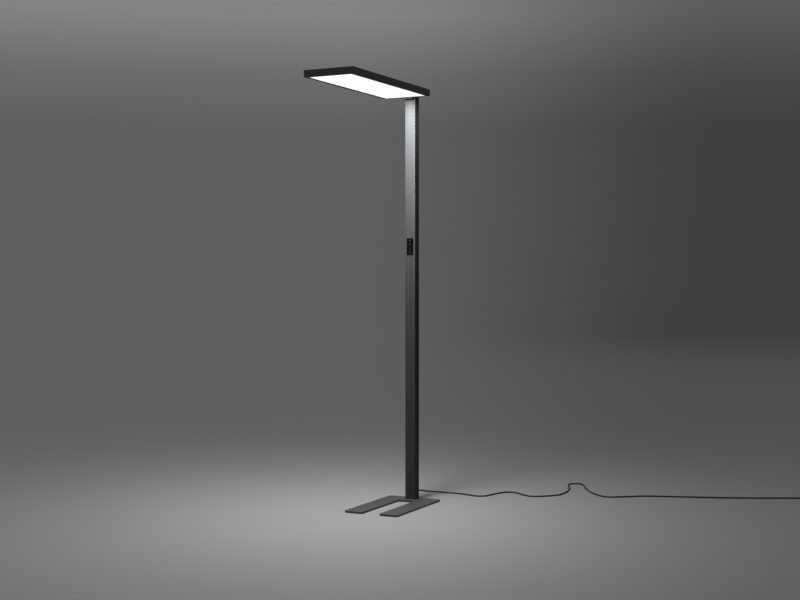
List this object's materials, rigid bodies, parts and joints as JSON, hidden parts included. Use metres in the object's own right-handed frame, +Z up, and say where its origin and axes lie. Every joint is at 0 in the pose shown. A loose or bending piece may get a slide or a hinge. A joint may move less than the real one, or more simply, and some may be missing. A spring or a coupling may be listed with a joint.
{
  "type": "office floor lamp",
  "caption": "Slim office floor lamp: flat rectangular light head on a rectangular post with four push keys, fork-shaped foot and a mains cord with plug.",
  "frame": {"origin": "on the floor, on the axis of the post: the middle of the underside of the pad under the post", "axes": "+Z up; -Y to the front, where the head and the prongs of the foot point; +Y to the rear, where the mains cord leaves; +X to the right for someone who faces the lamp from its front"},
  "size_m": [2.001, 1.7249, 1.95],
  "materials": {
    "graphite_steel": "fine-textured graphite powder coat",
    "graphite_aluminium": "dark anodised, brushed along the post",
    "graphite_rail": "dark graphite satin coat",
    "black_casting": "black satin coat",
    "bright_aluminium": "mill finish",
    "zinc_steel": "zinc plated",
    "black_steel": "black oxide",
    "pad_rubber": "matt black",
    "soft_black": "soft matt black",
    "cord_black": "smooth black sheath",
    "tie_black": "hook-and-loop tape",
    "white_plastic": "moulded white",
    "wire_brown": "insulated wire",
    "gloss_black": "gloss black moulding",
    "key_black": "satin black key",
    "moulded_black": "moulded black",
    "board_green": "solder-masked board",
    "switch_grey": "moulded grey",
    "clear_acrylic": "polished clear sheet",
    "frosted_acrylic": "frosted acrylic",
    "led_board": "white board with diodes",
    "opal_lit": "opal acrylic, lit",
    "nickel_brass": "nickel plated brass"
  },
  "bodies": {
    "lamp": {"foot_plate": "graphite_steel", "floor_pads": "pad_rubber", "foot_block": "bright_aluminium", "foot_screws": "zinc_steel", "side_screws": "black_steel", "post_profile": "graphite_aluminium", "strain_relief": "soft_black", "relief_nut": "zinc_steel", "inner_lead": "cord_black", "terminal_block": "white_plastic", "driver_tray": "zinc_steel", "led_driver": "white_plastic", "driver_wires": "wire_brown", "head_cable": "cord_black", "unit_cable": "cord_black", "unit_housing": "gloss_black", "unit_board": "board_green", "key_switches": "switch_grey", "unit_connector": "white_plastic", "unit_back": "moulded_black", "neck_casting": "black_casting", "neck_lid": "black_casting", "neck_lid_screws": "black_steel", "neck_post_screws": "zinc_steel", "head_bolts": "zinc_steel", "head_side_rails": "graphite_rail", "head_front_rail": "graphite_rail", "head_rear_rail": "graphite_rail", "corner_keys": "bright_aluminium", "corner_screws": "black_steel", "head_bracket": "zinc_steel", "bracket_screws": "zinc_steel", "component_plate": "bright_aluminium", "reflector_sheet": "white_plastic", "light_guide": "clear_acrylic", "side_led_strips": "led_board", "down_diffuser": "opal_lit", "up_led_boards": "led_board", "head_connector": "white_plastic", "up_diffuser": "frosted_acrylic", "top_cover": "graphite_rail", "cover_screws": "black_steel", "mains_cord": "cord_black", "cord_coil": "cord_black", "cord_tie": "tie_black", "plug_body": "soft_black", "plug_pins": "nickel_brass"},
    "power_button": {"power_key": "key_black"},
    "brighter_button": {"brighter_key": "key_black"},
    "dimmer_button": {"dimmer_key": "key_black"},
    "uplight_button": {"uplight_key": "key_black"}
  },
  "joints": [
    {"name": "power_press", "type": "slide", "parent": "lamp", "child": "power_button", "axis": [0, 1, 0], "range_m": [0, 0.0008], "stiffness_N_per_m": 900},
    {"name": "brighter_press", "type": "slide", "parent": "lamp", "child": "brighter_button", "axis": [0, 1, 0], "range_m": [0, 0.0008], "stiffness_N_per_m": 900},
    {"name": "dimmer_press", "type": "slide", "parent": "lamp", "child": "dimmer_button", "axis": [0, 1, 0], "range_m": [0, 0.0008], "stiffness_N_per_m": 900},
    {"name": "uplight_press", "type": "slide", "parent": "lamp", "child": "uplight_button", "axis": [0, 1, 0], "range_m": [0, 0.0008], "stiffness_N_per_m": 900}
  ]
}
